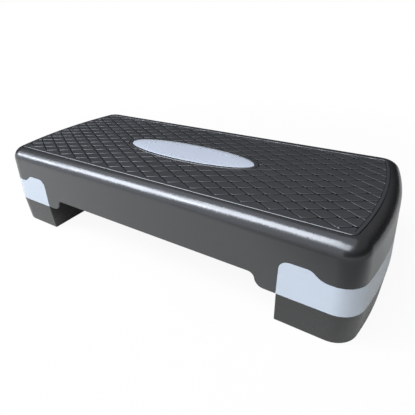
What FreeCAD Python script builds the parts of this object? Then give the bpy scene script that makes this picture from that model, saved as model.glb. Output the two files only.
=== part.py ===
import FreeCAD, Part
import math
import os

# Aerobic step platform with two levels, modelled as it stands on the floor.
# X runs along the length, Y across it and Z up. The origin is on the floor, under the middle.
# A black moulded deck carries an inlaid tread mat and a pale oval plate. A pale leg socket closes
# each end of the deck, and a black foot plugs into each socket from below. With the feet on,
# the step is at its upper level. With them pulled off it stands on its sockets, one foot lower.

Vector = FreeCAD.Vector
UP = Vector(0, 0, 1)
ORIGIN = Vector(0, 0, 0)
ACROSS_MIDDLE = Vector(1, 0, 0)

# Driving dimensions in mm, overall form. A draft is how far a wall leans for each mm of its height.
# The share of a bend is the part of it that its upper arc takes.
deck_length = 690.0
deck_width = 292.0
step_height = 150.0
foot_height = 50.0
end_bulge = 20.0
corner_radius = 36.0
top_edge_radius = 21.0
side_draft = 0.05
end_draft = 0.085
foot_draft = 0.03

# Deck shell: skirt, top plate, ribs, screw bosses, and the arch between the posts
skirt_wall = 3.0
top_plate = 3.5
rib_thickness = 2.4
rib_depth = 22.0
rib_pitch_length = 57.0
rib_pitch_width = 48.0
boss_diameter = 12.0
arch_rise = 20.0
arch_bend_length = 24.0
arch_bend_share = 0.42
post_length = 16.5

# Leg socket: pale collar with its tab and band, lap behind the skirt, floor plate, sleeves
leg_length = 116.5
tab_rise = 53.3
tab_length = 34.3
tab_corner_radius = 13.0
band_rise = 41.8
band_bend_length = 28.5
band_bend_share = 0.375
seam_gap = 0.3
lap_clearance = 0.3
lap_thickness = 2.0
lap_rise = 5.0
socket_plate = 3.5
socket_wall = 3.0
socket_rib_height = 20.0
sleeve_wall = 3.0
sleeve_headroom = 3.0

# Foot: moulding open below, with hollow pegs on its top plate
foot_wall = 3.0
foot_plate = 3.0
foot_rib_lift = 7.0
foot_edge_radius = 1.2
peg_diameter = 28.0
peg_height = 24.0
peg_wall = 3.0
peg_chamfer = 2.0
peg_clearance = 0.3
peg_inner_offset = 26.0
peg_end_offset = 40.5
peg_side_offset = 52.0

# Rubber pads: floor pads under the feet, level pads under the sockets
floor_pad_diameter = 24.0
floor_pad_seat = 3.0
floor_pad_proud = 1.0
floor_pad_boss_wall = 2.6
floor_pad_inner_offset = 22.0
floor_pad_end_offset = 46.5
floor_pad_side_offset = 22.0
level_pad_diameter = 20.0
level_pad_seat = 2.0
level_pad_proud = 1.0
level_pad_inner_offset = 20.0
level_pad_end_offset = 34.5
level_pad_half_spacing = 58.0
pad_clearance = 0.2

# Screws that hold each socket to the deck's bosses
screw_diameter = 4.0
screw_length = 16.0
screw_head_diameter = 8.5
screw_head_height = 3.0
screw_head_cover = 2.0
screw_seat = 3.0
screw_clearance = 0.1
screw_post_wall = 3.0
screw_tip_room = 4.0
screw_inner_offset = 18.0
screw_end_offset = 32.5
screw_half_spacing = 24.0

# Tread mat with its diamond grooves, and the oval plate
mat_seat = 1.6
mat_proud = 0.8
mat_gap = 0.6
mat_end_reach = 3.3
field_margin = 7.0
field_end_margin = 5.0
diamond_length = 40.0
diamond_width = 22.5
groove_width = 2.0
groove_depth = 0.8
oval_length = 253.0
oval_width = 64.0
oval_margin = 6.0
oval_edge_radius = 0.8

# Levels, lengths and places that follow from the driving dimensions
half_length = deck_length / 2
half_width = deck_width / 2
end_radius = (half_width ** 2 + end_bulge ** 2) / (2 * end_bulge)
parting = foot_height
rim_top = step_height - mat_proud
mat_floor = rim_top - mat_seat
deck_ceiling = mat_floor - top_plate
arch_height = parting + arch_rise
tab_height = parting + tab_rise
band_height = parting + band_rise
leg_inner_x = half_length - leg_length
leg_face_x = leg_inner_x + seam_gap
tab_end_x = leg_inner_x + tab_length
band_start_x = tab_end_x + band_bend_length
post_half_length = leg_inner_x - post_length
arch_half_length = post_half_length - arch_bend_length
lap_inset = skirt_wall + lap_clearance
leg_wall = lap_inset + lap_thickness
foot_ceiling = parting - foot_plate
peg_top = parting + peg_height
peg_half_spacing = half_width - peg_side_offset
floor_pad_top = floor_pad_proud + floor_pad_seat
floor_pad_half_spacing = half_width - floor_pad_side_offset
screw_seat_z = parting + screw_head_cover + screw_head_height
screw_post_top = screw_seat_z + screw_seat
screw_hole = screw_diameter + 2 * screw_clearance

# How far an edge may stray from a plane and still count as lying in it
plane_tolerance = 0.01


def outline(z, side_inset, end_inset):
    """Plan outline at height z: straight sides, bulging ends and round corners, all tangent."""
    half_w = half_width - side_inset
    half_l = half_length - end_inset
    end_r = end_radius - side_inset
    corner_r = corner_radius - side_inset
    arc_x = half_l - end_r
    corner_y = half_w - corner_r
    corner_x = arc_x + math.sqrt((end_r - corner_r) ** 2 - corner_y ** 2)
    turn = math.atan2(corner_y, corner_x - arc_x)
    meet_x = arc_x + end_r * math.cos(turn)
    meet_y = end_r * math.sin(turn)
    middle = (turn + math.pi / 2) / 2
    mid_x = corner_x + corner_r * math.cos(middle)
    mid_y = corner_y + corner_r * math.sin(middle)
    edges = []
    for s in (1, -1):
        side_start = Vector(-s * corner_x, -s * half_w, z)
        side_end = Vector(s * corner_x, -s * half_w, z)
        first_mid = Vector(s * mid_x, -s * mid_y, z)
        end_start = Vector(s * meet_x, -s * meet_y, z)
        end_crown = Vector(s * half_l, 0, z)
        end_finish = Vector(s * meet_x, s * meet_y, z)
        second_mid = Vector(s * mid_x, s * mid_y, z)
        next_side = Vector(s * corner_x, s * half_w, z)
        edges.append(Part.LineSegment(side_start, side_end).toShape())
        edges.append(Part.Arc(side_end, first_mid, end_start).toShape())
        edges.append(Part.Arc(end_start, end_crown, end_finish).toShape())
        edges.append(Part.Arc(end_finish, second_mid, next_side).toShape())
    return Part.Wire(edges)


def tapered_block(z_low, z_high, inset, side_slope, end_slope):
    """Solid between two outlines, drawn in by the inset and by a slope from the parting line."""
    wires = []
    for z in (z_low, z_high):
        rise = z - parting
        wires.append(outline(z, inset + rise * side_slope, inset + rise * end_slope))
    return Part.makeLoft(wires, True, True)


def deck_block(z_low, z_high, inset):
    """Block with the deck's taper, narrower towards the top."""
    return tapered_block(z_low, z_high, inset, side_draft, end_draft)


def foot_block(z_low, z_high, inset):
    """Block with the foot's taper, narrower towards the floor."""
    return tapered_block(z_low, z_high, inset, -foot_draft, -foot_draft)


def top_edges(solid):
    """Edges that lie in the solid's highest plane."""
    top = solid.BoundBox.ZMax
    return [e for e in solid.Edges if all(abs(v.Z - top) < plane_tolerance for v in e.Vertexes)]


def foot_edges(solid):
    """Edges of the foot that are rounded: round its bottom, and both sides of its inner wall."""
    bottom = solid.BoundBox.ZMin
    inner = solid.BoundBox.XMin
    chosen = []
    for edge in solid.Edges:
        level = edge.BoundBox.ZLength < plane_tolerance
        at_bottom = level and edge.BoundBox.ZMax < bottom + plane_tolerance
        at_inner = not level and edge.BoundBox.XMax < inner + plane_tolerance
        if at_bottom or at_inner:
            chosen.append(edge)
    return chosen


def slab(x_low, x_high, y_low, y_high, z_low, z_high):
    """Upright box between the given limits."""
    return Part.makeBox(x_high - x_low, y_high - y_low, z_high - z_low, Vector(x_low, y_low, z_low))


def length_strip(y, thickness, z_low, z_high):
    """Strip of the given thickness along the whole length at y."""
    return slab(-deck_length, deck_length, y - thickness / 2, y + thickness / 2, z_low, z_high)


def width_strip(x, thickness, z_low, z_high):
    """Strip of the given thickness across the whole width at x."""
    return slab(x - thickness / 2, x + thickness / 2, -deck_width, deck_width, z_low, z_high)


def leg_space(x_low):
    """All space at the right end beyond x_low, from the floor up."""
    return slab(x_low, deck_length, -deck_width, deck_width, 0, step_height)


def cylinder(place, z_low, z_high, diameter):
    """Upright cylinder at an X, Y place between two heights."""
    return Part.makeCylinder(diameter / 2, z_high - z_low, Vector(place[0], place[1], z_low), UP)


def union(first, others):
    """One solid made of several that overlap or touch."""
    return first.multiFuse(others).removeSplitter()


def both_ends(solid):
    """The solid at the right end and its mirror image at the left."""
    return [solid, solid.mirror(ORIGIN, ACROSS_MIDDLE)]


def line(start, end):
    """Edge from one X, Z point to another, in the plane Y = 0."""
    return Part.LineSegment(Vector(start[0], 0, start[1]), Vector(end[0], 0, end[1])).toShape()


def arc(centre, radius, start, end):
    """Arc in the plane Y = 0 between two angles in radians, counted from X towards Z."""
    points = []
    for angle in (start, (start + end) / 2, end):
        points.append(Vector(centre[0] + radius * math.cos(angle), 0, centre[1] + radius * math.sin(angle)))
    return Part.Arc(points[0], points[1], points[2]).toShape()


def falling_bend(x_high, z_high, x_low, z_low, share, gap):
    """Edges of a smooth fall from one level line to a lower one: two arcs that meet at a slope.

    The gap is how far both level lines have been drawn down, and the arcs stay parallel.
    """
    drop = z_high - z_low
    slope = 2 * math.atan2(drop, x_low - x_high)
    both_radii = drop / (1 - math.cos(slope))
    high_radius = share * both_radii - gap
    low_radius = both_radii - high_radius
    return [
        arc((x_high, z_high - high_radius), high_radius, math.pi / 2, math.pi / 2 - slope),
        arc((x_low, z_low + low_radius), low_radius, -math.pi / 2 - slope, -math.pi / 2),
    ]


def across(edges):
    """Solid of a closed X, Z outline carried right across the width."""
    face = Part.Face(Part.Wire(Part.__sortEdges__(edges)))
    solid = face.extrude(Vector(0, 2 * deck_width, 0))
    solid.translate(Vector(0, -deck_width, 0))
    return solid


def arch_space():
    """Space under the middle of the skirt, from post to post, with smooth bends at both ends."""
    right = falling_bend(arch_half_length, arch_height, post_half_length, parting, arch_bend_share, 0)
    edges = right + [e.mirror(ORIGIN, ACROSS_MIDDLE) for e in right]
    for s in (1, -1):
        edges.append(line((s * post_half_length, parting), (s * post_half_length, 0)))
    edges.append(line((-arch_half_length, arch_height), (arch_half_length, arch_height)))
    edges.append(line((-post_half_length, 0), (post_half_length, 0)))
    return across(edges)


def collar_space(gap):
    """Space of the right collar, drawn in by the gap from the skirt's cut-out.

    Seen from the front, a tab beside the post has a round shoulder and falls in a smooth bend
    to the band that runs round the end.
    """
    inner = leg_inner_x + gap
    tab = tab_height - gap
    band = band_height - gap
    shoulder = tab_corner_radius - gap
    corner = (inner + shoulder, tab - shoulder)
    edges = [
        line((inner, 0), (inner, corner[1])),
        arc(corner, shoulder, math.pi, math.pi / 2),
        line((corner[0], tab), (tab_end_x, tab)),
    ]
    edges += falling_bend(tab_end_x, tab, band_start_x, band, band_bend_share, gap)
    edges += [
        line((band_start_x, band), (deck_length, band)),
        line((deck_length, band), (deck_length, 0)),
        line((deck_length, 0), (inner, 0)),
    ]
    return across(edges)


def four_places(inner_offset, end_offset, half_spacing):
    """X, Y places of a set of four at the right end: inner row first, front before back."""
    places = []
    for x in (leg_inner_x + inner_offset, half_length - end_offset):
        for y in (-half_spacing, half_spacing):
            places.append((x, y))
    return places


peg_places = four_places(peg_inner_offset, peg_end_offset, peg_half_spacing)
screw_places = four_places(screw_inner_offset, screw_end_offset, screw_half_spacing)
floor_pad_places = four_places(floor_pad_inner_offset, floor_pad_end_offset, floor_pad_half_spacing)
level_pad_places = four_places(level_pad_inner_offset, level_pad_end_offset, level_pad_half_spacing)
peg_rows = (peg_places[0][0], peg_places[2][0])


def evenly(limit, pitch):
    """Places on both sides of zero, one pitch apart, within the limit."""
    count = int(limit // pitch)
    return [i * pitch for i in range(-count, count + 1)]


def tread_outline(z, side_inset, end_inset):
    """Outline of the recess in the top, which runs into the rounded edge at the ends, drawn in."""
    rise = rim_top - parting
    side = top_edge_radius + rise * side_draft
    end = top_edge_radius + rise * end_draft - mat_end_reach
    return outline(z, side + side_inset, end + end_inset)


def tread_block(z_low, z_high, inset):
    """Upright solid on the recess's outline."""
    return Part.Face(tread_outline(z_low, inset, inset)).extrude(Vector(0, 0, z_high - z_low))


def oval_block(z_low, z_high, margin):
    """Upright solid on the oval, widened by the margin."""
    ellipse = Part.Ellipse(Vector(0, 0, z_low), oval_length / 2 + margin, oval_width / 2 + margin)
    return Part.Face(Part.Wire(ellipse.toShape())).extrude(Vector(0, 0, z_high - z_low))


def deck_shell():
    """Black deck: skirted shell with its arch and collar cut-outs, ribs, bosses and mat recess."""
    outside = deck_block(parting, rim_top, 0)
    outside = outside.makeFillet(top_edge_radius, top_edges(outside))
    cavity = deck_block(parting, deck_ceiling, skirt_wall)
    cavity = cavity.makeFillet(top_edge_radius - skirt_wall, top_edges(cavity))
    shell = outside.cut(cavity).cut([arch_space()] + both_ends(collar_space(0)))

    rib_low = deck_ceiling - rib_depth
    strips = []
    for x in evenly(half_length, rib_pitch_length):
        strips.append(width_strip(x, rib_thickness, rib_low, step_height))
    for y in evenly(half_width, rib_pitch_width):
        strips.append(length_strip(y, rib_thickness, rib_low, step_height))
    inside = [strip.common(cavity) for strip in strips]
    holes = [tread_block(mat_floor, step_height, 0)]
    hole_top = screw_seat_z + screw_length + screw_tip_room
    for place in screw_places:
        inside += both_ends(cylinder(place, screw_post_top, deck_ceiling, boss_diameter))
        holes += both_ends(cylinder(place, parting, hole_top, screw_hole))
    return union(shell, inside).cut(holes)


def lozenges(z):
    """Faces of the diamonds that the grooves leave standing, over the whole length and width."""
    side_angle = math.atan2(diamond_width, diamond_length)
    share = 1 - groove_width / (diamond_length * math.sin(side_angle))
    dx = share * diamond_length / 2
    dy = share * diamond_width / 2
    columns = int(deck_length / diamond_length)
    rows = int(deck_width / diamond_width)
    faces = []
    for column in range(-columns, columns + 1):
        for row in range(-rows, rows + 1):
            if (column + row) % 2:
                x = column * diamond_length / 2
                y = row * diamond_width / 2
                left = Vector(x - dx, y, z)
                front = Vector(x, y - dy, z)
                right = Vector(x + dx, y, z)
                back = Vector(x, y + dy, z)
                faces.append(Part.Face(Part.makePolygon([left, front, right, back, left])))
    return faces


def tread_mat():
    """Rubber mat in the deck's recess, with two families of crossing grooves round its diamonds."""
    mat = tread_block(mat_floor, step_height, mat_gap).cut(oval_block(mat_floor, step_height, mat_gap))
    groove_floor = step_height - groove_depth
    field = Part.Face(tread_outline(groove_floor, mat_gap + field_margin, mat_gap + field_end_margin))
    field = field.cut(oval_block(mat_floor, step_height, mat_gap + oval_margin))
    return mat.cut(field.cut(lozenges(groove_floor)).extrude(Vector(0, 0, groove_depth)))


def oval_plate():
    """Pale oval plate, bare, level with the tread."""
    plate = oval_block(mat_floor, step_height, 0)
    return plate.makeFillet(oval_edge_radius, top_edges(plate))


def leg_socket():
    """Right leg socket: collar flush with the skirt, lap behind it, floor plate, ribs and sleeves."""
    top = tab_height + lap_rise
    core = deck_block(parting, top, leg_wall)
    collar = deck_block(parting, top, 0).cut(core).common(collar_space(seam_gap))
    lap = deck_block(parting, top, lap_inset).cut(core).common(collar_space(-lap_rise))
    beyond_face = leg_space(leg_face_x)
    wall_strip = width_strip(leg_face_x + socket_wall / 2, socket_wall, parting, top)
    wall = deck_block(parting, band_height, skirt_wall).common(wall_strip)
    plate = deck_block(parting, parting + socket_plate, 0).common(beyond_face)
    room = deck_block(parting, parting + socket_rib_height, skirt_wall).common(beyond_face)

    added = [lap.common(beyond_face), wall, plate]
    for y in (-peg_half_spacing, peg_half_spacing):
        added.append(room.common(length_strip(y, rib_thickness, parting, top)))
    for x in peg_rows:
        added.append(room.common(width_strip(x, rib_thickness, parting, top)))
    holes = []
    bore = peg_diameter + 2 * peg_clearance
    sleeve_top = peg_top + sleeve_headroom
    for place in peg_places:
        added.append(cylinder(place, parting, sleeve_top, bore + 2 * sleeve_wall))
        holes.append(cylinder(place, 0, step_height, bore))
    head_hole = screw_head_diameter + 2 * pad_clearance
    for place in screw_places:
        added.append(cylinder(place, parting, screw_post_top, head_hole + 2 * screw_post_wall))
        holes.append(cylinder(place, 0, screw_seat_z, head_hole))
        holes.append(cylinder(place, 0, step_height, screw_hole))
    for place in level_pad_places:
        holes.append(cylinder(place, 0, parting + level_pad_seat, level_pad_diameter + 2 * pad_clearance))
    return union(collar, added).cut(holes)


def foot():
    """Right foot: box open below with a closed inner wall, ribs, pad bosses and hollow pegs."""
    body = foot_block(floor_pad_proud, parting, 0).common(leg_space(leg_face_x))
    body = body.makeFillet(foot_edge_radius, foot_edges(body))
    hollow = foot_block(floor_pad_proud, foot_ceiling, foot_wall).common(leg_space(leg_face_x + foot_wall))
    rib_low = floor_pad_proud + foot_rib_lift
    added = []
    for y in (-peg_half_spacing, -screw_half_spacing, screw_half_spacing, peg_half_spacing):
        added.append(hollow.common(length_strip(y, rib_thickness, rib_low, parting)))
    for x in peg_rows:
        added.append(hollow.common(width_strip(x, rib_thickness, rib_low, parting)))
    holes = []
    for place in peg_places:
        peg = cylinder(place, foot_ceiling, peg_top, peg_diameter)
        added.append(peg.makeChamfer(peg_chamfer, top_edges(peg)))
        holes.append(cylinder(place, 0, peg_top - peg_wall, peg_diameter - 2 * peg_wall))
    seat = floor_pad_diameter + 2 * pad_clearance
    for place in floor_pad_places:
        boss = cylinder(place, floor_pad_proud, foot_ceiling, seat + 2 * floor_pad_boss_wall)
        added.append(boss.common(body))
        holes.append(cylinder(place, 0, floor_pad_top, seat))
    pocket = level_pad_diameter + 4 * pad_clearance
    for place in level_pad_places:
        holes.append(cylinder(place, parting - level_pad_proud - pad_clearance, step_height, pocket))
    return union(body.cut(hollow), added).cut(holes)


def leg_screws():
    """Four pan-head screws of the right socket, as one group."""
    screws = []
    for place in screw_places:
        head = cylinder(place, screw_seat_z - screw_head_height, screw_seat_z, screw_head_diameter)
        shank = cylinder(place, screw_seat_z, screw_seat_z + screw_length, screw_diameter)
        screws.append(head.fuse(shank).removeSplitter())
    return Part.makeCompound(screws)


def floor_pad(place):
    """Rubber pad in its seat under the right foot, standing on the floor."""
    return cylinder(place, 0, floor_pad_top, floor_pad_diameter)


def level_pad(place):
    """Rubber pad in its seat under the right socket, for use with the feet off."""
    return cylinder(place, parting - level_pad_proud, parting + level_pad_seat, level_pad_diameter)


def export(name, shape):
    """Write one named piece and print what it is."""
    shape.exportStep("parts/" + name + ".step")
    print(name, len(shape.Solids), "solids", round(shape.Volume / 1000, 1), "cm3, valid", shape.isValid())


def export_both(name, shape):
    """Write the right-hand piece and its mirror image."""
    for side, solid in zip(("right_", "left_"), both_ends(shape)):
        export(side + name, solid)


def main():
    """Build every piece in its place and write it."""
    os.makedirs("parts", exist_ok=True)
    export("deck_shell", deck_shell())
    export("tread_mat", tread_mat())
    export("oval_plate", oval_plate())
    export_both("leg_socket", leg_socket())
    export_both("leg_screws", leg_screws())
    export_both("foot", foot())
    corners = ("inner_front", "inner_back", "outer_front", "outer_back")
    for corner, floor_place, level_place in zip(corners, floor_pad_places, level_pad_places):
        export_both("floor_pad_" + corner, floor_pad(floor_place))
        export_both("level_pad_" + corner, level_pad(level_place))


main()
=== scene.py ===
"""Looks of an aerobic step platform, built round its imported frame.

Each sub-assembly, each finish and the studio is a class. Lengths are in metres, in the frame's axes:
X runs along the step, Y across it from front to back, and Z up from the floor.
"""

import logging
import math
from dataclasses import dataclass, replace
from enum import Enum
from typing import ClassVar

import bpy
import numpy as np
from mathutils import Matrix, Vector


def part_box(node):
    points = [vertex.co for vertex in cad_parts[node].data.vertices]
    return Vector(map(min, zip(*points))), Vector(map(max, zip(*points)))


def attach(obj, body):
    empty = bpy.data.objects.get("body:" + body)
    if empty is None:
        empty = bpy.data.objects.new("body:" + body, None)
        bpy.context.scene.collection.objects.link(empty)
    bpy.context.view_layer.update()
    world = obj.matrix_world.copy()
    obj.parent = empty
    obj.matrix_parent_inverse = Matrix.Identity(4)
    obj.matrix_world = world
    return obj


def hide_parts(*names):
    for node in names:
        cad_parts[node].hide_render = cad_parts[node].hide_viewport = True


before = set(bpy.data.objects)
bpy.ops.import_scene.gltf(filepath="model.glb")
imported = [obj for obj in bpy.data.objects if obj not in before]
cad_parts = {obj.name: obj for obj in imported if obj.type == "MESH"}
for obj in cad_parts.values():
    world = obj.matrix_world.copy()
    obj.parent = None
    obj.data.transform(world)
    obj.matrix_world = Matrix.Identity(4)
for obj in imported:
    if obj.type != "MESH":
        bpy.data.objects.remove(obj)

MM = 0.001
Array = np.ndarray
Colour = tuple[float, float, float]
WHITE: Colour = (1.0, 1.0, 1.0)
NOISE_RANGE = (0.3, 0.7)
log = logging.getLogger("step")


class Side(Enum):
    """The two ends of the step, with the sign of X at each."""

    LEFT = -1
    RIGHT = 1

    @property
    def prefix(self) -> str:
        """Start of the names of the pieces at this end."""
        return self.name.lower() + "_"


class MeshParts:
    """Vertices and faces gathered from several surfaces before they become one mesh."""

    def __init__(self) -> None:
        """Start with nothing."""
        self.points: list[Array] = []
        self.faces: list[Array] = []
        self.count = 0

    def add(self, points: Array, *faces: Array) -> None:
        """Add vertices and the faces between them.

        Args:
            points: Vertices, any shape that ends in 3.
            faces: Arrays of vertex numbers counted from the first of these points, one row a face.
        """
        flat = points.reshape(-1, 3)
        for rows in faces:
            self.faces.append(rows + self.count)
        self.points.append(flat)
        self.count += len(flat)

    def add_grids(
        self,
        grids: Array,
        close_rows: bool = False,
        first_poles: Array | None = None,
        last_poles: Array | None = None,
    ) -> None:
        """Add grids that close round their first parameter, with quads between neighbours.

        Args:
            grids: Points of shape (grids, round, rows, 3), counter-clockwise seen from outside.
            close_rows: Whether the last row joins the first.
            first_poles: Points of shape (grids, 3) that close the first rows with triangles.
            last_poles: Points of shape (grids, 3) that close the last rows.
        """
        count, around, rows = grids.shape[:3]
        number = np.arange(count * around * rows).reshape(count, around, rows)
        ahead = np.roll(number, -1, axis=1)
        end = rows if close_rows else rows - 1
        above, ahead_above = np.roll(number, -1, axis=2), np.roll(ahead, -1, axis=2)
        quads = np.stack([number, ahead, ahead_above, above], axis=-1)[:, :, :end].reshape(-1, 4)
        points, faces = [grids.reshape(-1, 3)], [quads]
        for poles, ring in ((first_poles, number[:, ::-1, 0]), (last_poles, number[:, :, -1])):
            if poles is not None:
                pole = np.arange(count)[:, None] + sum(map(len, points))
                fan = [ring, np.roll(ring, -1, axis=1), np.broadcast_to(pole, ring.shape)]
                points.append(poles)
                faces.append(np.stack(fan, axis=-1).reshape(-1, 3))
        self.add(np.concatenate(points), *faces)

    def build(self, name: str, sharp_angle: float) -> bpy.types.Object:
        """Make the object, smooth but for edges that turn by more than an angle.

        Args:
            name: Name of the object and its mesh.
            sharp_angle: Turn in radians above which an edge isn't shaded smooth.

        Returns:
            The object, linked to the scene at the origin.
        """
        mesh = bpy.data.meshes.new(name)
        lengths = np.concatenate([np.full(len(rows), rows.shape[1]) for rows in self.faces])
        corners = np.concatenate([rows.ravel() for rows in self.faces])
        points = np.concatenate(self.points)
        mesh.vertices.add(len(points))
        mesh.vertices.foreach_set("co", points.astype(np.float32).ravel())
        mesh.loops.add(len(corners))
        mesh.loops.foreach_set("vertex_index", corners.astype(np.int32))
        mesh.polygons.add(len(lengths))
        mesh.polygons.foreach_set("loop_start", (np.cumsum(lengths) - lengths).astype(np.int32))
        mesh.update(calc_edges=True)
        mesh.validate()
        mesh.shade_smooth()
        mesh.set_sharp_from_angle(angle=sharp_angle)
        piece = bpy.data.objects.new(name, mesh)
        bpy.context.scene.collection.objects.link(piece)
        return piece


class NodeTree:
    """Short ways to add and join shader nodes."""

    def __init__(self, tree: bpy.types.NodeTree) -> None:
        """Empty the tree."""
        self.tree = tree
        tree.nodes.clear()

    def node(self, kind: str, settings: dict | None = None, **sockets: object) -> bpy.types.Node:
        """Add a node.

        Args:
            kind: Node type after "ShaderNode".
            settings: Properties of the node, by name.
            sockets: Inputs by name with underscores for spaces, each a value or an output socket.

        Returns:
            The node.
        """
        made = self.tree.nodes.new("ShaderNode" + kind)
        for key, value in (settings or {}).items():
            setattr(made, key, value)
        for key, value in sockets.items():
            self.put(made.inputs[key.replace("_", " ")], value)
        return made

    def put(self, socket: bpy.types.NodeSocket, value: object) -> None:
        """Link an output to a socket, or set its value."""
        if isinstance(value, bpy.types.NodeSocket):
            self.tree.links.new(value, socket)
        else:
            socket.default_value = value

    def math(self, operation: str, first: object, second: object) -> bpy.types.NodeSocket:
        """Result of a Math node on two values or sockets."""
        made = self.node("Math", {"operation": operation})
        self.put(made.inputs[0], first)
        self.put(made.inputs[1], second)
        return made.outputs[0]

    def noise(self, coordinates: object, scale: float, detail: float = 2.0) -> bpy.types.NodeSocket:
        """Noise from 0 to 1 at the given number of waves a metre."""
        return self.node("TexNoise", Vector=coordinates, Scale=scale, Detail=detail).outputs["Fac"]

    def spread(self, value: object, low: float, high: float) -> bpy.types.NodeSocket:
        """Noise, most of which lies in NOISE_RANGE, spread from a low value to a high one."""
        return self.ramp(value, NOISE_RANGE, (low, high))

    def ramp(
        self, value: object, source: tuple[float, float], target: tuple[float, float]
    ) -> bpy.types.NodeSocket:
        """A value's place in one range, carried over to another range and held at its ends."""
        made = self.node("MapRange", Value=value)
        for socket, level in zip(("From Min", "From Max", "To Min", "To Max"), source + target):
            self.put(made.inputs[socket], level)
        return made.outputs["Result"]


def rgba(colour: Colour) -> tuple[float, float, float, float]:
    """The colour with full opacity."""
    return (*colour, 1.0)


@dataclass(frozen=True)
class MouldedFinish:
    """Moulded plastic or rubber: uneven colour, a fine pebble grain, smoother and rougher patches, and
    painted shade in a hollow where asked.

    Fields:
        slot: The record's material slot.
        colour, tint: The two linear colours that the body colour wanders between.
        roughness: Lowest and highest roughness.
        grain: Waves a metre of the pebble grain, and its height in metres.
        specular: Level of gloss, where 0.5 is that of the index of refraction alone.
        ior: Index of refraction.
        painted_shade_span: Lowest and highest Z of a hollow whose bottom is matt, with shade painted into
            its colour and gloss, or None.
        clouds, specks, patches: Waves a metre and detail of the noise in the colour, coarse and
            fine, and in the roughness.
        cloud_share: Share of the coarse noise in the colour.
        painted_shade_share: Share of the colour that is left at the bottom of the hollow, where the painted
            shade is darkest.
    """

    clouds: ClassVar[tuple[float, float]] = (9.0, 4.0)
    specks: ClassVar[tuple[float, float]] = (260.0, 3.0)
    patches: ClassVar[tuple[float, float]] = (24.0, 5.0)
    cloud_share: ClassVar[float] = 0.6
    # Painted shade: share of the colour left at the bottom of a hollow.
    painted_shade_share: ClassVar[float] = 0.45
    slot: str
    colour: Colour
    tint: Colour
    roughness: tuple[float, float]
    grain: tuple[float, float]
    specular: float = 0.5
    ior: float = 1.5
    painted_shade_span: tuple[float, float] | None = None

    def material(self) -> bpy.types.Material:
        """Build the material.

        Returns:
            A new material that reads Object coordinates.
        """
        made = bpy.data.materials.new(self.slot)
        made.use_nodes = True
        tree = NodeTree(made.node_tree)
        place = tree.node("TexCoord").outputs["Object"]
        cloud = tree.spread(tree.noise(place, *self.clouds), 0.0, self.cloud_share)
        speck = tree.spread(tree.noise(place, *self.specks), 0.0, 1 - self.cloud_share)
        blend = tree.math("ADD", cloud, speck)
        colour = tree.node("Mix", {"data_type": "RGBA"})
        tree.put(colour.inputs["Factor"], blend)
        tree.put(colour.inputs[6], rgba(self.colour))
        tree.put(colour.inputs[7], rgba(self.tint))
        patches = tree.spread(tree.noise(place, *self.patches), *self.roughness)
        paint, rough, gloss = colour.outputs[2], patches, self.specular
        # Painted shade: colour and gloss fall towards the bottom of the grooves.
        if self.painted_shade_span:
            paint, rough, gloss = self.paint_groove_shade(tree, place, paint, rough)
        waves, height = self.grain
        pebbles = tree.node("TexVoronoi", {"feature": "SMOOTH_F1"}, Vector=place, Scale=waves)
        bump = tree.node("Bump", Strength=1.0, Distance=height, Height=pebbles.outputs["Distance"])
        body = tree.node(
            "BsdfPrincipled",
            Base_Color=paint,
            Roughness=rough,
            Normal=bump.outputs["Normal"],
            IOR=self.ior,
            Specular_IOR_Level=gloss,
        )
        tree.node("OutputMaterial", Surface=body.outputs["BSDF"])
        return made

    def paint_groove_shade(
        self,
        tree: NodeTree,
        place: bpy.types.NodeSocket,
        paint: bpy.types.NodeSocket,
        rough: bpy.types.NodeSocket,
    ) -> tuple[bpy.types.NodeSocket, bpy.types.NodeSocket, bpy.types.NodeSocket]:
        """Paint shade into the bottom of the hollow by taking colour and gloss out of it.

        Args:
            tree: Where the nodes go.
            place: Object coordinates.
            paint: The body colour.
            rough: The body's roughness.

        Returns:
            The colour with the painted shade, the roughness, which rises to 1 at the bottom, and the level
            of gloss, which falls to 0 there as painted shade.
        """
        height = tree.node("SeparateXYZ", Vector=place).outputs["Z"]
        rise = tree.ramp(height, self.painted_shade_span, (0.0, 1.0))
        # Painted shade: the colour darkens towards the bottom of the hollow.
        shade = tree.node("Mix", {"data_type": "RGBA"})
        tree.put(shade.inputs["Factor"], rise)
        tree.put(shade.inputs[6], rgba(tuple(self.painted_shade_share * c for c in self.colour)))
        tree.put(shade.inputs[7], paint)
        matt = tree.math("MAXIMUM", rough, tree.ramp(height, self.painted_shade_span, (1.0, 0.0)))
        return shade.outputs[2], matt, tree.math("MULTIPLY", rise, self.specular)


@dataclass(frozen=True)
class SteelFinish:
    """Zinc-plated steel of the screws: bright metal with fine dull patches.

    Fields:
        slot: The record's material slot.
        colour: The metal's linear colour.
        roughness: Lowest and highest roughness.
        patches: Waves a metre and detail of the noise in the roughness.
    """

    patches: ClassVar[tuple[float, float]] = (700.0, 4.0)
    slot: str
    colour: Colour
    roughness: tuple[float, float]

    def material(self) -> bpy.types.Material:
        """Build the material.

        Returns:
            A new material that reads Object coordinates.
        """
        made = bpy.data.materials.new(self.slot)
        made.use_nodes = True
        tree = NodeTree(made.node_tree)
        place = tree.node("TexCoord").outputs["Object"]
        patches = tree.spread(tree.noise(place, *self.patches), *self.roughness)
        body = tree.node("BsdfPrincipled", Base_Color=rgba(self.colour), Roughness=patches, Metallic=1.0)
        tree.node("OutputMaterial", Surface=body.outputs["BSDF"])
        return made


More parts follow.
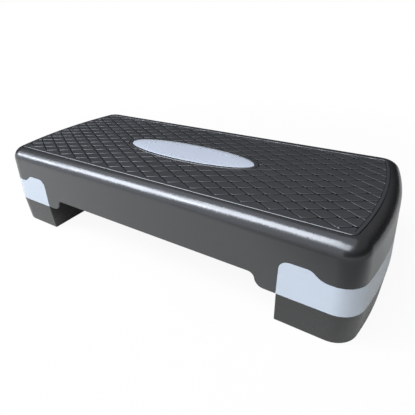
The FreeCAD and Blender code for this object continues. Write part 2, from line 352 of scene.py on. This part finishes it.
DECK_PLASTIC = MouldedFinish(
    "deck_plastic", (0.0125, 0.0125, 0.0125), (0.0165, 0.0165, 0.017), (0.21, 0.27), (900.0, 0.000005),
    specular=1.0)
TREAD_RUBBER = MouldedFinish(
    "tread_rubber", (0.0183, 0.0183, 0.0193), (0.0255, 0.0255, 0.0268), (0.31, 0.37), (1100.0, 0.00002),
    specular=0.95)
OVAL_PLASTIC = MouldedFinish(
    "oval_plastic", (0.376, 0.402, 0.443), (0.406, 0.432, 0.473), (0.3, 0.36), (900.0, 0.000005))
SOCKET_PLASTIC = MouldedFinish(
    "socket_plastic", (0.467, 0.506, 0.556), (0.497, 0.536, 0.586), (0.2, 0.26), (900.0, 0.00001),
    specular=0.6)
FOOT_PLASTIC = MouldedFinish(
    "foot_plastic", (0.0235, 0.023, 0.021), (0.0305, 0.03, 0.028), (0.24, 0.3), (900.0, 0.00002))
PAD_RUBBER = MouldedFinish(
    "pad_rubber", (0.02, 0.02, 0.02), (0.03, 0.03, 0.03), (0.6, 0.75), (1400.0, 0.00008), specular=0.3)
SCREW_STEEL = SteelFinish("screw_steel", (0.62, 0.61, 0.58), (0.22, 0.38))


@dataclass(frozen=True)
class Outline:
    """Plan of the tread: straight sides, bulging ends and small round corners, all tangent."""

    least_corner: ClassVar[float] = 0.2 * MM
    half_length: float
    half_width: float
    end_radius: float
    corner_radius: float

    def inset(self, distance: float, at_ends: float | None = None) -> "Outline":
        """The outline drawn in by a distance, and by another one at its ends if that is given."""
        return Outline(
            self.half_length - (distance if at_ends is None else at_ends),
            self.half_width - distance,
            self.end_radius - distance,
            max(self.corner_radius - distance, self.least_corner),
        )

    @property
    def end_centre(self) -> float:
        """X of the centre of the right end's arc."""
        return self.half_length - self.end_radius

    def loop(self, side: int = 40, corner: int = 8, end: int = 24) -> Array:
        """Points round the outline, counter-clockwise from the middle of the front.

        The quarter from the front's middle to the right end's middle is a straight run, a corner arc
        and an end arc. The other quarters mirror it.

        Args:
            side, corner, end: Steps on each piece of the quarter.

        Returns:
            Array of shape (points, 2).
        """
        reach = self.end_radius - self.corner_radius
        corner_y = self.half_width - self.corner_radius
        corner_x = self.end_centre + math.sqrt(reach**2 - corner_y**2)
        turn = math.atan2(corner_y, corner_x - self.end_centre)
        along = np.linspace(0, corner_x, side + 1)[:-1]
        bend = np.linspace(math.pi / 2, turn, corner + 1)[:-1]
        bulge = np.linspace(turn, 0, end + 1)
        x = np.concatenate([
            along,
            corner_x + self.corner_radius * np.cos(bend),
            self.end_centre + self.end_radius * np.cos(bulge),
        ])
        y = np.concatenate([
            np.full_like(along, self.half_width),
            corner_y + self.corner_radius * np.sin(bend),
            self.end_radius * np.sin(bulge),
        ])
        quarters = [
            np.stack([x, -y], -1),
            np.stack([x, y], -1)[-2::-1],
            np.stack([-x, y], -1)[1:],
            np.stack([-x, -y], -1)[-2:0:-1],
        ]
        return np.concatenate(quarters)


@dataclass(frozen=True)
class Ellipse:
    """Ellipse about the middle of the tread."""

    half_length: float
    half_width: float

    def grown(self, distance: float) -> "Ellipse":
        """The ellipse with both half axes longer by a distance."""
        return Ellipse(self.half_length + distance, self.half_width + distance)

    def at(self, angle: Array) -> Array:
        """Points at the given angles, counted from X towards Y on the unit circle."""
        return np.stack([self.half_length * np.cos(angle), self.half_width * np.sin(angle)], -1)

    def unit(self, points: Array) -> Array:
        """Points of the plane, scaled so that the ellipse is the unit circle."""
        return points / np.array([self.half_length, self.half_width])


def rows_of(*rings: tuple[Array, float]) -> Array:
    """Stack level rings into one grid.

    Args:
        rings: Pairs of plan points (points, 2) and a height.

    Returns:
        One grid of shape (1, points, rings, 3).
    """
    levels = [np.concatenate([plan, np.full((len(plan), 1), z)], axis=1) for plan, z in rings]
    return np.stack(levels, axis=1)[None]


def first_ahead(*distances: Array) -> Array:
    """The smallest distance along each ray, where walls that lie behind it don't count."""
    return np.minimum.reduce([np.where(d > 0, d, np.inf) for d in distances])


@dataclass
class Tread:
    """Rubber mat with a plain margin, crossing diagonal grooves, and a plain ring round the oval.

    Fields:
        top, floor: Heights of the mat's top and underside.
        outline: Plan of the mat.
        oval: Plan of the plate that lies in its hole.
        diamond_length, diamond_width: Pitch of the diamonds between the grooves.
        groove_width, groove_depth: Size of a groove at its bottom.
        margin, end_margin: Width of the plain border at the sides and at the ends.
        ring, ring_groove, oval_gap: Width of the plain ring, of the groove outside it, and of the
            gap between it and the plate.
        bevel: Slope of the edges of the margin and the ring.
        edge_profile: Pairs of how far in from a diamond's edge, and how far below the top.
        foot_sink: How far a diamond's foot lies below the groove's bottom.
        crown: How far a whole diamond's middle stands above its rim.
        corner_power: Power of the mean that joins the sides; the higher, the sharper the corners.
        corner_cut: Length that is cut off each sharp corner.
        corner_share: Share of a side from a corner to the next point.
        draw_limit: Largest share of a short distance that a ring takes up.
        border_lean: Share by which the cut side of the innermost ring leans in.
        cut_steps: Points on each side of a diamond that the margin or the ring cuts.
        fill_steps: Points each way on the patch that tells how much of a diamond is in the field.
        least_fill: Smallest share of a diamond that is kept.
        sharp_angle: Turn above which an edge isn't shaded smooth.
    """

    top: float
    floor: float
    outline: Outline
    oval: Ellipse
    diamond_length: float = 40 * MM
    diamond_width: float = 22.5 * MM
    groove_width: float = 1.2 * MM
    groove_depth: float = 0.8 * MM
    margin: float = 7.0 * MM
    end_margin: float = 5.0 * MM
    ring: float = 6.0 * MM
    ring_groove: float = 1.2 * MM
    oval_gap: float = 0.9 * MM
    bevel: float = 0.7 * MM
    edge_profile: tuple[tuple[float, float], ...] = (
        (0.05 * MM, 0.46 * MM),
        (0.45 * MM, 0.08 * MM),
        (0.95 * MM, 0.0),
        (1.5 * MM, 0.0),
    )
    foot_sink: float = 0.1 * MM
    crown: float = 0.02 * MM
    corner_power: float = 64.0
    corner_cut: float = 2.4 * MM
    corner_share: float = 0.13
    draw_limit: float = 0.9
    border_lean: float = 0.03
    cut_steps: int = 14
    fill_steps: int = 25
    least_fill: float = 0.01
    sharp_angle: float = math.radians(35)

    def build(self) -> bpy.types.Object:
        """Build the base plate and the diamonds that stand on it.

        Returns:
            The tread as one object.
        """
        parts = MeshParts()
        parts.add_grids(self.base_grid(), close_rows=True)
        for cut in (False, True):
            self.add_diamonds(parts, cut)
        return parts.build("tread_surface", self.sharp_angle)

    @property
    def groove_floor(self) -> float:
        """Height of the bottom of the grooves."""
        return self.top - self.groove_depth

    @property
    def field(self) -> Outline:
        """Outline of the grooved field."""
        return self.outline.inset(self.margin, self.end_margin)

    @property
    def ring_edge(self) -> Ellipse:
        """Outside of the plain ring round the oval."""
        return self.oval.grown(self.oval_gap + self.ring)

    def base_grid(self) -> Array:
        """Rings of the base plate, from its rim over the margin and the field to the oval's hole.

        Each ring is the outline drawn in, or an ellipse read at the angles of the outline's points.
        The last ring, at the bottom of the hole, joins the first, at the bottom of the rim.

        Returns:
            One closed grid of shape (1, points, rings, 3).
        """
        low, top, bevel = self.groove_floor, self.top, self.bevel
        angle = np.arctan2(*self.oval.unit(self.field.loop()).T[::-1])
        hole = self.oval.grown(self.oval_gap)
        border = self.field
        return rows_of(
            (self.outline.loop(), self.floor),
            (self.outline.loop(), top - bevel),
            (self.outline.inset(bevel).loop(), top),
            (border.inset(-bevel).loop(), top),
            (border.loop(), low),
            (self.ring_edge.at(angle), low),
            (self.ring_edge.grown(-bevel).at(angle), top),
            (hole.grown(bevel).at(angle), top),
            (hole.at(angle), top - bevel),
            (hole.at(angle), self.floor),
        )

    def centres(self) -> Array:
        """Middles of all diamonds whose box reaches the field, one half pitch apart in a checker."""
        step_x, step_y = self.diamond_length / 2, self.diamond_width / 2
        last_column = math.ceil(self.field.half_length / step_x)
        last_row = math.ceil(self.field.half_width / step_y)
        columns = np.arange(-last_column, last_column + 1)
        rows = np.arange(-last_row, last_row + 1)
        column, row = np.meshgrid(columns, rows, indexing="ij")
        odd = (column + row) % 2 == 1
        return np.stack([column[odd] * step_x, row[odd] * step_y], -1)

    def in_field(self, points: Array) -> Array:
        """Whether points lie in the grooved field, outside the ring round the oval."""
        x, y = np.abs(points[..., 0]), np.abs(points[..., 1])
        in_ends = np.hypot(x - self.field.end_centre, y) <= self.field.end_radius
        clear = np.linalg.norm(self.keep_out.unit(points), axis=-1) >= 1
        return in_ends & (y <= self.field.half_width) & clear

    @property
    def keep_out(self) -> Ellipse:
        """Edge of the diamonds towards the oval."""
        return self.ring_edge.grown(self.ring_groove)

    def perimeter(self, *shares: float) -> Array:
        """Points round a whole diamond about its middle, at the same shares of each of its sides."""
        share = 1 - self.groove_width / (self.diamond_length * math.sin(self.side_angle))
        dx, dy = share * self.diamond_length / 2, share * self.diamond_width / 2
        corners = np.array([(dx, 0), (0, dy), (-dx, 0), (0, -dy)])
        part = np.array(shares)[None, :, None]
        return (corners[:, None] * (1 - part) + np.roll(corners, -1, axis=0)[:, None] * part).reshape(-1, 2)

    @property
    def side_angle(self) -> float:
        """Angle between a groove and X."""
        return math.atan2(self.diamond_width, self.diamond_length)

    def add_diamonds(self, parts: MeshParts, cut: bool) -> None:
        """Add the whole diamonds, or those that the margin or the ring cuts.

        A cut diamond is seen from the middle of what is left of it: along each ray its edge is the
        nearer of the diamond's own side, drawn in for the ring, and the field's border. So its cut
        side stands flush against the margin, with no rounded edge.

        Args:
            parts: Where the diamonds go.
            cut: Which of the two kinds to add.
        """
        centres = self.centres()
        share = np.linspace(-1, 1, self.fill_steps)
        u, v = np.meshgrid(share, share, indexing="ij")
        reach_x, reach_y = self.perimeter(0.0).max(axis=0)
        patch = np.stack([(u + v) / 2 * reach_x, (u - v) / 2 * reach_y], -1).reshape(-1, 2)
        inside = self.in_field(centres[:, None] + patch)
        filled = inside.mean(axis=1)
        chosen = (filled > self.least_fill) & (filled < 1) if cut else filled == 1
        centres, inside = centres[chosen], inside[chosen]
        seen_from = (inside[..., None] * patch).sum(axis=1) / inside.sum(axis=1)[:, None]
        shares = np.arange(self.cut_steps) / self.cut_steps
        rays = self.perimeter(*(shares if cut else (0.0, self.corner_share, 1 - self.corner_share)))
        rays = rays - seen_from[:, None]
        rays /= np.linalg.norm(rays, axis=-1, keepdims=True)
        foot = self.groove_floor - self.foot_sink
        levels = [(0.0, foot)] + [(drawn_in, self.top - below) for drawn_in, below in self.edge_profile]
        border = self.border_distance(centres + seen_from, rays) if cut else np.inf
        deepest = self.edge_profile[-1][0]
        rings = []
        for drawn_in, z in levels:
            own_side = self.side_distance(seen_from, rays, drawn_in, deepest, not cut)
            length = np.minimum(own_side, border * (1 - self.border_lean * drawn_in / deepest))
            plan = (centres + seen_from)[:, None] + rays * length[..., None]
            rings.append(np.concatenate([plan, np.full(plan.shape[:2] + (1,), z)], axis=-1))
        crown = 0.0 if cut else self.crown
        middle = centres + seen_from
        below, above = (np.concatenate([middle, np.full((len(middle), 1), z)], axis=1)
                        for z in (foot, self.top + crown))
        parts.add_grids(np.stack(rings, axis=2), first_poles=below, last_poles=above)

    def side_distance(
        self, seen_from: Array, rays: Array, drawn_in: float, deepest: float, blunt: bool
    ) -> Array:
        """Distance along each ray to the diamond's own outline, drawn in.

        The distances to its sides are joined by a power mean, which rounds its corners. A side
        that is nearer than the deepest ring is drawn in by less, so that no ring turns inside out.

        Args:
            seen_from: Start of the rays in each diamond, about its middle.
            rays: Directions, of shape (diamonds, rays, 2).
            drawn_in: How far this ring lies inside the outline.
            deepest: How far the innermost ring does.
            blunt: Whether short sides cut its two sharp corners off.

        Returns:
            Distances of shape (diamonds, rays).
        """
        tips = self.perimeter(0.0)
        normals = np.array([(sx * math.sin(self.side_angle), sy * math.cos(self.side_angle))
                            for sx in (1, -1) for sy in (1, -1)])
        reach = np.full(4, tips[0] @ normals[0])
        if blunt:
            normals = np.concatenate([normals, [(1.0, 0.0), (-1.0, 0.0)]])
            reach = np.concatenate([reach, np.full(2, tips[0, 0] - self.corner_cut)])
        full = reach - seen_from @ normals.T
        left = full - drawn_in * np.minimum(1, self.draw_limit * full / deepest)
        speed = rays @ normals.T
        nearness = np.maximum(speed, 0) / left[:, None]
        return (nearness**self.corner_power).sum(axis=-1) ** (-1 / self.corner_power)

    def border_distance(self, start: Array, rays: Array) -> Array:
        """Distance along each ray to the field's sides, its end arcs and the ring round the oval."""
        start = np.broadcast_to(start[:, None], rays.shape)
        with np.errstate(divide="ignore", invalid="ignore"):
            sides = [(s * self.field.half_width - start[..., 1]) / rays[..., 1] for s in (1, -1)]
            ends = []
            for s in (1, -1):
                offset = start - np.array([s * self.field.end_centre, 0])
                along = (offset * rays).sum(axis=-1)
                ends.append(-along + np.sqrt(along**2 - (offset**2).sum(-1) + self.field.end_radius**2))
            offset, ray = self.keep_out.unit(start), self.keep_out.unit(rays)
            scale, along = (ray**2).sum(axis=-1), (offset * ray).sum(axis=-1)
            root = along**2 - scale * ((offset**2).sum(axis=-1) - 1)
            oval = np.where(root > 0, (-along - np.sqrt(np.maximum(root, 0))) / scale, np.inf)
        return first_ahead(*sides, *ends, oval)


@dataclass
class OvalPlate:
    """Pale oval plate with a soft rim and a faint crown, bare.

    Fields:
        floor, top: Heights of the plate's underside and of its rim.
        oval: Plan of the plate.
        edge: Radius of the quarter-round rim.
        crown: How far the middle stands above the rim.
        steps, rim_steps: Points round the plate and up its rim.
        crown_shares: Shares of the plan at which the rings of the crowned top lie.
        sharp_angle: Turn above which an edge isn't shaded smooth.
    """

    floor: float
    top: float
    oval: Ellipse
    edge: float = 1.2 * MM
    crown: float = 0.3 * MM
    steps: int = 160
    rim_steps: int = 6
    crown_shares: tuple[float, ...] = (0.75, 0.5, 0.25)
    sharp_angle: float = math.radians(50)

    def build(self) -> bpy.types.Object:
        """Build the plate: a wall, a quarter-round rim and a crowned top that closes at its middle.

        Returns:
            The plate as one object.
        """
        angle = np.linspace(0, 2 * math.pi, self.steps, endpoint=False)
        turn = np.linspace(0, math.pi / 2, self.rim_steps)
        rings = [(self.oval.at(angle), self.floor)]
        for a in turn:
            drawn_in = self.edge * (1 - math.cos(a))
            rings.append((self.oval.grown(-drawn_in).at(angle), self.top - self.edge * (1 - math.sin(a))))
        for share in self.crown_shares:
            plan = self.oval.grown(-self.edge).at(angle) * share
            rings.append((plan, self.top + self.crown * (1 - share**2)))
        grid = rows_of(*rings)
        parts = MeshParts()
        bottom, summit = (np.array([(0, 0, z)]) for z in (self.floor, self.top + self.crown))
        parts.add_grids(grid, first_poles=bottom, last_poles=summit)
        return parts.build("oval_surface", self.sharp_angle)


@dataclass
class Deck:
    """Black deck with its tread and its oval plate.

    Fields:
        body: The body that it moves with.
        corner_radius, end_radius: Radii of the tread's corners and of its bulging ends.
        painted_shade_height: Height above the grooves' bottom over which shade is painted into the rubber's
            colour and gloss.
    """

    body: str = "platform"
    corner_radius: float = 9.44 * MM
    end_radius: float = 516.34 * MM
    painted_shade_height: float = 0.5 * MM

    def build(self) -> None:
        """Dress the shell, and put the modelled tread and oval in the place of their solids."""
        dress("deck_shell", DECK_PLASTIC)
        low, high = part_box("tread_mat")
        oval_low, oval_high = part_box("oval_plate")
        outline = Outline(high.x, high.y, self.end_radius, self.corner_radius)
        oval = Ellipse(oval_high.x, oval_high.y)
        tread = Tread(high.z, low.z, outline, oval)
        # The tread's rubber gets painted shade towards the bottom of its grooves.
        rubber = replace(TREAD_RUBBER, painted_shade_span=(tread.groove_floor, tread.groove_floor + self.painted_shade_height))
        stand_in(tread.build(), "tread_mat", self.body, rubber)
        plate = OvalPlate(oval_low.z, oval_high.z, oval).build()
        stand_in(plate, "oval_plate", self.body, OVAL_PLASTIC)


@dataclass
class LegEnd:
    """One end of the step: the pale socket with its screws and pads, and the foot with its pads."""

    side: Side
    corners: tuple[str, ...] = ("inner_front", "inner_back", "outer_front", "outer_back")

    def build(self) -> None:
        """Dress the pieces of this end."""
        name = self.side.prefix
        dress(name + "leg_socket", SOCKET_PLASTIC)
        dress(name + "leg_screws", SCREW_STEEL)
        dress(name + "foot", FOOT_PLASTIC)
        for corner in self.corners:
            dress(name + "floor_pad_" + corner, PAD_RUBBER)
            dress(name + "level_pad_" + corner, PAD_RUBBER)


MATERIALS: dict[str, bpy.types.Material] = {}


def material_of(finish: MouldedFinish | SteelFinish) -> bpy.types.Material:
    """The finish's material, made on first use."""
    if finish.slot not in MATERIALS:
        MATERIALS[finish.slot] = finish.material()
    return MATERIALS[finish.slot]


def dress(node: str, finish: MouldedFinish | SteelFinish) -> None:
    """Give a solid of the frame its finish.

    Args:
        node: Name of the solid.
        finish: Its finish.
    """
    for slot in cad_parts[node].material_slots:
        slot.material = material_of(finish)
    log.info("%s keeps its solid, in %s", node, finish.slot)


def stand_in(piece: bpy.types.Object, node: str, body: str, finish: MouldedFinish) -> None:
    """Put a modelled piece in the place of a solid.

    Args:
        piece: The modelled piece.
        node: The solid that it stands for.
        body: The body that it moves with.
        finish: Its finish.
    """
    piece.data.materials.append(material_of(finish))
    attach(piece, body)
    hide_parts(node)
    log.info("%s stands for %s, %d faces", piece.name, node, len(piece.data.polygons))


@dataclass(frozen=True)
class Softbox:
    """Rectangular lamp that the camera doesn't see.

    Fields:
        name: Name of the lamp.
        place: Its middle.
        long_axis: Direction of its first side.
        size: Lengths of its two sides.
        radiance: Brightness of its face.
    """

    name: str
    place: tuple[float, float, float]
    long_axis: tuple[float, float, float]
    size: tuple[float, float]
    radiance: float

    def build(self, aim: tuple[float, float, float], colour: Colour) -> None:
        """Make the lamp with its first side along the long axis, as nearly as its aim allows.

        Args:
            aim: The point that it faces.
            colour: Its colour.
        """
        lamp = bpy.data.lights.new(self.name, "AREA")
        lamp.shape = "RECTANGLE"
        lamp.size, lamp.size_y = self.size
        lamp.energy = self.radiance * math.pi * self.size[0] * self.size[1]
        lamp.color = colour
        back = (Vector(self.place) - Vector(aim)).normalized()
        across = (Vector(self.long_axis) - back * back.dot(Vector(self.long_axis))).normalized()
        turn = Matrix((across, back.cross(across), back)).transposed().to_4x4()
        holder = bpy.data.objects.new(self.name, lamp)
        holder.matrix_world = Matrix.Translation(self.place) @ turn
        holder.visible_camera = False
        bpy.context.scene.collection.objects.link(holder)


@dataclass
class Studio:
    """Pale floor, white surround, soft lamps, a dark flag behind, and the camera.

    Fields:
        floor_radius, floor_steps: Size of the round floor, and points on its rim.
        floor_colour: Its paint.
        floor_fade, floor_white: Two distances from the middle, and the share of plain white that
            the camera sees at each.
        floor_mirrored: The share of plain white in reflections.
        floor_slant: Direction on the floor in which reflections show it with painted shade.
        reflection_shade_span, reflection_shade_share: Where along it shade is painted into the floor's
        reflections, and how dark.
        reflection_shade_fade, reflection_shade_kept: Where that painted shade gets lighter again, and the
        share of it that stays.
        surround_light: Brightness with which the surround lights the object.
        flag_radius: Radius of the sphere that the flag is a band of.
        flag_steps: Points round the flag and up it.
        flag_turns, flag_tops: Azimuths from X, and the elevation of the flag's top at each, in degrees.
        flag_rise, flag_level: Two heights as shares of the radius, and the brightness at each.
        eye, heading, tilt, roll: Place of the camera, and its turns in degrees.
        focal_pixels, frame_pixels: Focal length and side of the square image in pixels.
        sensor_width: Width of the camera's sensor in mm.
        lamp_aim, lamp_colour, lamps: The point that all lamps face, their colour, and the lamps.
    """

    floor_radius: float = 8.0
    floor_steps: int = 96
    floor_colour: Colour = (0.58, 0.57, 0.52)
    floor_white: tuple[float, float] = (0.93, 1.0)
    floor_fade: tuple[float, float] = (0.45, 1.1)
    floor_mirrored: float = 0.15
    floor_slant: tuple[float, float, float] = (math.sqrt(0.5), -math.sqrt(0.5), 0.0)
    # Painted shade in the floor's reflections off the right front corner.
    reflection_shade_span: tuple[float, float] = (0.33, 0.5)
    reflection_shade_share: float = 0.7
    reflection_shade_fade: tuple[float, float] = (0.5, 0.75)
    reflection_shade_kept: float = 0.4
    surround_light: float = 0.15
    flag_radius: float = 2.5
    flag_steps: tuple[int, int] = (64, 12)
    flag_turns: tuple[float, ...] = (-75, -40, 0, 110, 143, 167, 180, 190)
    flag_tops: tuple[float, ...] = (30, 45, 59, 59, 47, 41, 38, 38)
    flag_rise: tuple[float, float] = (0.33, 0.55)
    flag_level: tuple[float, float] = (0.01, 0.2)
    eye: tuple[float, float, float] = (0.332253, -0.458482, 0.372495)
    heading: float = 32.894
    tilt: float = 30.828
    roll: float = -2.215
    focal_pixels: float = 341.587
    frame_pixels: float = 415.0
    sensor_width: float = 36.0
    lamp_aim: tuple[float, float, float] = (0.0, -0.1, 0.15)
    lamp_colour: Colour = (0.85, 0.9, 1.0)
    lamps: tuple[Softbox, ...] = (
        Softbox("low_key", (-2.13, -1.12, 1.2), (0.35, -0.15, 0.56), (0.75, 0.5), 11.0),
        Softbox("mid_key", (-1.62, -1.17, 1.82), (0.72, 0.09, 0.74), (0.96, 1.18), 11.3),
        Softbox("high_key", (-0.68, -1.08, 2.43), (1.17, -0.26, 0.22), (1.35, 1.5), 10.6),
        Softbox("side_key", (0.55, -1.53, 2.23), (0.96, 0.0, -0.2), (1.5, 1.5), 5.2),
    )

    def build(self) -> None:
        """Make everything that isn't the object."""
        bpy.context.scene.view_settings.view_transform = "Standard"
        self.build_surround()
        self.build_floor()
        self.build_flag()
        for lamp in self.lamps:
            lamp.build(self.lamp_aim, self.lamp_colour)
        self.build_camera()
        log.info("studio ready, %d lamps", len(self.lamps))

    @staticmethod
    def seen(tree: NodeTree, directly: object, mirrored: float) -> bpy.types.NodeSocket:
        """Share of white in what is seen, and 0 in what lights the object.

        Args:
            tree: Where the nodes go.
            directly: Share for the camera, a number or a socket.
            mirrored: Share for reflections and clear bodies.

        Returns:
            The share.
        """
        path = tree.node("LightPath").outputs
        bounced = tree.math("MAXIMUM", path["Is Glossy Ray"], path["Is Transmission Ray"])
        straight = tree.math("MULTIPLY", path["Is Camera Ray"], directly)
        return tree.math("MAXIMUM", straight, tree.math("MULTIPLY", bounced, mirrored))

    def build_surround(self) -> None:
        """White surround that lights the object softly, and that reflections show as a pale sky."""
        world = bpy.data.worlds.new("surround")
        world.use_nodes = True
        tree = NodeTree(world.node_tree)
        strength = tree.math("MAXIMUM", self.seen(tree, 0.0, 1.0), self.surround_light)
        sky = tree.node("Background", Color=rgba(self.lamp_colour), Strength=strength)
        white = tree.node("Background", Color=rgba(WHITE), Strength=1.0)
        mix = tree.node("MixShader", Fac=tree.node("LightPath").outputs["Is Camera Ray"])
        tree.put(mix.inputs[1], sky.outputs[0])
        tree.put(mix.inputs[2], white.outputs[0])
        tree.node("OutputWorld", Surface=mix.outputs[0])
        bpy.context.scene.world = world

    def build_floor(self) -> None:
        """Pale round floor that keeps a soft shadow, with painted shade in its reflections off the right
        front corner.
        """
        angle = np.linspace(0, 2 * math.pi, self.floor_steps, endpoint=False)
        rim = np.stack([np.cos(angle), np.sin(angle), np.zeros_like(angle)], -1) * self.floor_radius
        parts = MeshParts()
        parts.add_grids(rim[None, :, None], last_poles=np.zeros((1, 3)))
        floor = parts.build("floor", math.pi)
        paint = bpy.data.materials.new("floor_paint")
        paint.use_nodes = True
        tree = NodeTree(paint.node_tree)
        matt = tree.node("BsdfDiffuse", Color=rgba(self.floor_colour))
        white = tree.node("Emission", Color=rgba(WHITE), Strength=1.0)
        place = tree.node("TexCoord").outputs["Object"]
        away = tree.node("VectorMath", {"operation": "LENGTH"}, Vector=place).outputs["Value"]
        share = tree.ramp(away, self.floor_fade, self.floor_white)
        mix = tree.node("MixShader", Fac=self.seen(tree, share, self.floor_mirrored))
        tree.put(mix.inputs[1], matt.outputs[0])
        tree.put(mix.inputs[2], white.outputs[0])
        # Painted shade: reflections show the floor darker off the right front corner.
        shaded_reflection = tree.node("MixShader", Fac=self.painted_reflection_shade(tree, place))
        tree.put(shaded_reflection.inputs[1], mix.outputs[0])
        tree.node("OutputMaterial", Surface=shaded_reflection.outputs[0])
        floor.data.materials.append(paint)

    def painted_reflection_shade(self, tree: NodeTree, place: bpy.types.NodeSocket) -> bpy.types.NodeSocket:
        """Painted shade in the floor's reflections off the right front corner, less of it farther out.

        Args:
            tree: Where the nodes go.
            place: Object coordinates.

        Returns:
            The share of black, which is 0 in all but reflections.
        """
        slant = tree.node("VectorMath", {"operation": "DOT_PRODUCT"})
        tree.put(slant.inputs[0], place)
        tree.put(slant.inputs[1], self.floor_slant)
        along = slant.outputs["Value"]
        dark = tree.ramp(along, self.reflection_shade_span, (0.0, self.reflection_shade_share))
        stays = tree.ramp(along, self.reflection_shade_fade, (1.0, self.reflection_shade_kept))
        mirrored = tree.node("LightPath").outputs["Is Glossy Ray"]
        return tree.math("MULTIPLY", mirrored, tree.math("MULTIPLY", dark, stays))

    def build_flag(self) -> None:
        """Dark drape behind the object, that the camera doesn't see and that casts no shadow.

        It is a band of a sphere: radius * (cos a cos e, sin a cos e, sin e) for azimuths a and
        elevations e from the floor to the flag's top.
        """
        steps_round, steps_up = self.flag_steps
        around = np.linspace(self.flag_turns[0], self.flag_turns[-1], steps_round)
        top = np.interp(around, self.flag_turns, self.flag_tops)
        azimuth, share = np.meshgrid(np.radians(around), np.linspace(0, 1, steps_up), indexing="ij")
        elevation = share * np.radians(top)[:, None]
        plan = np.stack([np.cos(azimuth), np.sin(azimuth)], -1) * np.cos(elevation)[..., None]
        points = np.concatenate([plan, np.sin(elevation)[..., None]], axis=-1) * self.flag_radius
        number = np.arange(azimuth.size).reshape(azimuth.shape)
        corners = (number[:-1, :-1], number[:-1, 1:], number[1:, 1:], number[1:, :-1])
        parts = MeshParts()
        parts.add(points, np.stack(corners, axis=-1).reshape(-1, 4))
        flag = parts.build("flag", math.pi)
        cloth = bpy.data.materials.new("flag_cloth")
        cloth.use_nodes = True
        tree = NodeTree(cloth.node_tree)
        place = tree.node("TexCoord").outputs["Object"]
        height = tree.node("SeparateXYZ", Vector=place).outputs["Z"]
        low, high = self.flag_rise
        level = tree.ramp(height, (low * self.flag_radius, high * self.flag_radius), self.flag_level)
        dark = tree.node("Emission", Color=rgba(WHITE), Strength=level)
        tree.node("OutputMaterial", Surface=dark.outputs[0])
        flag.data.materials.append(cloth)
        flag.visible_camera = False
        flag.visible_shadow = False
        flag.visible_transmission = False

    def build_camera(self) -> None:
        """Camera at the photograph's viewing angle, for a square image."""
        heading, tilt, roll = (math.radians(a) for a in (self.heading, self.tilt, self.roll))
        forward = Vector((-math.sin(heading), math.cos(heading), 0.0))
        ahead = forward * math.cos(tilt) - Vector((0.0, 0.0, math.sin(tilt)))
        level = Vector((math.cos(heading), math.sin(heading), 0.0))
        upright = level.cross(ahead)
        right = level * math.cos(roll) + upright * math.sin(roll)
        up = upright * math.cos(roll) - level * math.sin(roll)
        lens = bpy.data.cameras.new("camera")
        lens.sensor_width = self.sensor_width
        lens.lens = self.focal_pixels / self.frame_pixels * self.sensor_width
        camera = bpy.data.objects.new("camera", lens)
        turn = Matrix((right, up, -ahead)).transposed().to_4x4()
        camera.matrix_world = Matrix.Translation(self.eye) @ turn
        bpy.context.scene.collection.objects.link(camera)
        bpy.context.scene.camera = camera


def main() -> None:
    """Build the studio, the deck and both ends."""
    logging.basicConfig(level=logging.INFO, format="%(name)s: %(message)s")
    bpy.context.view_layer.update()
    Studio().build()
    Deck().build()
    for side in Side:
        LegEnd(side).build()


if __name__ == "__main__":
    main()
